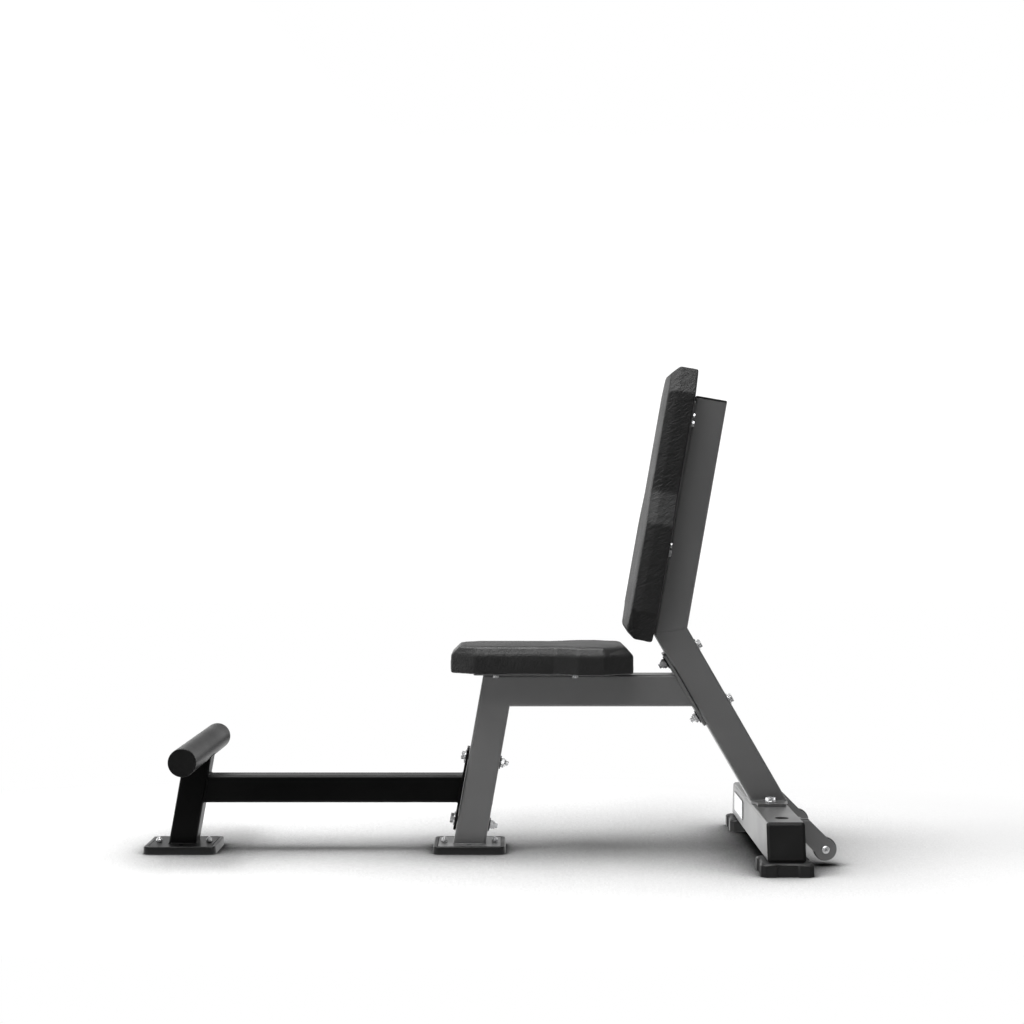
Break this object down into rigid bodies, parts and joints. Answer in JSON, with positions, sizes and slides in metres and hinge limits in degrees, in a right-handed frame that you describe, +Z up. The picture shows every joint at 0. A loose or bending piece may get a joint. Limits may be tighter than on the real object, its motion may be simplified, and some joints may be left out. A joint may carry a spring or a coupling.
{
  "type": "upright utility bench",
  "caption": "Upright utility bench: fixed padded seat and tall padded backrest on a bolted square tube frame, with a foot bar in front and transport wheels behind.",
  "frame": {"origin": "on the floor, in the middle of the bench's box", "axes": "+X from the foot bar to the transport wheels, +Y to the right of someone sitting on it, +Z up"},
  "size_m": [1.5, 0.676, 1.0717],
  "materials": {
    "grey_frame": "dark grey powder coat, satin",
    "black_frame": "black powder coat, satin",
    "upholstery": "black vinyl with a fine leather grain",
    "board": "raw birch plywood",
    "rubber": "matt black moulded rubber",
    "wheel_rubber": "satin black wheel rubber",
    "plastic": "black moulded plastic, fine texture",
    "badge": "bare satin aluminium plate",
    "fasteners": "bright zinc plated"
  },
  "bodies": {
    "frame": {"front_leg": "grey_frame", "seat_beam": "grey_frame", "rear_leg": "grey_frame", "back_post": "grey_frame", "rear_joint_plate": "grey_frame", "middle_foot_plate": "grey_frame", "seat_mount_plate": "grey_frame", "back_mount_plate": "grey_frame", "rear_base_plate": "grey_frame", "stabiliser": "grey_frame", "wheel_fork_left_inner": "grey_frame", "wheel_fork_left_outer": "grey_frame", "wheel_fork_right_inner": "grey_frame", "wheel_fork_right_outer": "grey_frame", "foot_bar": "black_frame", "foot_strut": "black_frame", "foot_beam": "black_frame", "front_joint_plate": "black_frame", "front_foot_plate": "black_frame", "seat_pad": "upholstery", "back_pad": "upholstery", "seat_board": "board", "back_board": "board", "front_foot_boot": "rubber", "middle_foot_boot": "rubber", "rear_foot_left": "rubber", "rear_foot_right": "rubber", "foot_bar_cap_left": "plastic", "foot_bar_cap_right": "plastic", "back_post_cap": "plastic", "stabiliser_cap_left": "plastic", "stabiliser_cap_right": "plastic", "badge_plate": "badge", "front_foot_screw_front": "fasteners", "front_foot_screw_rear": "fasteners", "middle_foot_screw_front": "fasteners", "middle_foot_screw_rear": "fasteners", "front_joint_bolt_lower": "fasteners", "front_joint_bolt_upper": "fasteners", "rear_joint_bolt_lower": "fasteners", "rear_joint_bolt_upper": "fasteners", "base_bolt_left": "fasteners", "base_bolt_right": "fasteners", "seat_bolt_1": "fasteners", "seat_bolt_2": "fasteners", "seat_bolt_3": "fasteners", "seat_bolt_4": "fasteners", "back_bolt_1": "fasteners", "back_bolt_2": "fasteners", "back_bolt_3": "fasteners", "back_bolt_4": "fasteners", "rear_foot_screw_left": "fasteners", "rear_foot_screw_right": "fasteners", "axle_bolt_left": "fasteners", "axle_bolt_right": "fasteners", "wheel_bush_left": "fasteners", "wheel_bush_right": "fasteners"},
    "wheel_left": {"wheel_left": "wheel_rubber"},
    "wheel_right": {"wheel_right": "wheel_rubber"}
  },
  "joints": [
    {"name": "wheel_left_spin", "type": "hinge", "parent": "frame", "child": "wheel_left", "pos_m": [0.725, -0.195, 0.0357], "axis": [0, 1, 0], "continuous": true},
    {"name": "wheel_right_spin", "type": "hinge", "parent": "frame", "child": "wheel_right", "pos_m": [0.725, 0.195, 0.0357], "axis": [0, 1, 0], "continuous": true}
  ]
}
